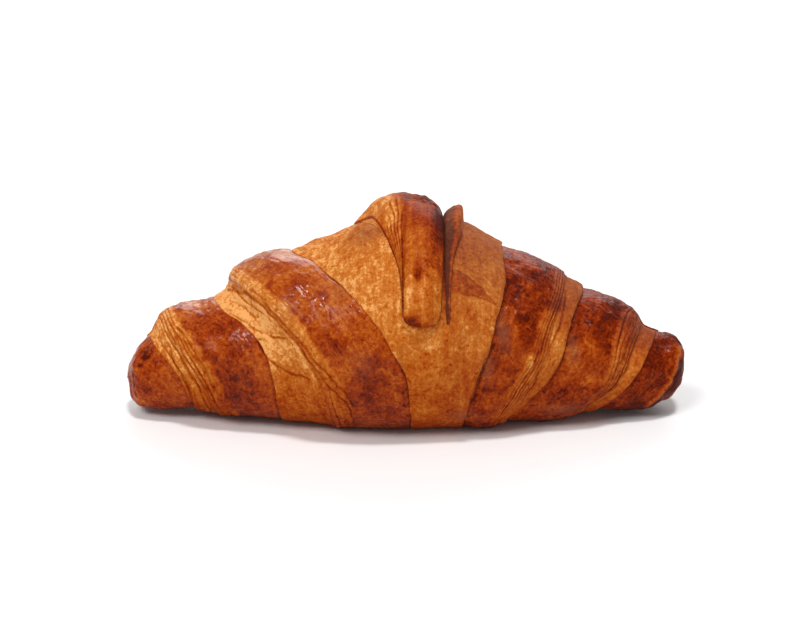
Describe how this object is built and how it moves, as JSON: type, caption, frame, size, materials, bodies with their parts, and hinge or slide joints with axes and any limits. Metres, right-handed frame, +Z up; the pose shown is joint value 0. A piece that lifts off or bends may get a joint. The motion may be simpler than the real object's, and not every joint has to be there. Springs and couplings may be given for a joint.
{
  "type": "croissant",
  "caption": "Baked croissant: a rolled crescent roll with straight tapering arms, stepped layers, a tongue of dough folded over the middle and a flat underside.",
  "frame": {"origin": "middle of the bounding box's underside, at table level", "axes": "+X along the croissant from the blunt arm to the pointed arm; the tongue's end hangs on the -Y side, the front; +Z up"},
  "size_m": [0.1606, 0.0714, 0.0627],
  "materials": {
    "crust": "golden brown baked crust, egg-washed to a soft gloss on the dark bands"
  },
  "bodies": {
    "root": {"croissant": "crust"}
  },
  "joints": []
}
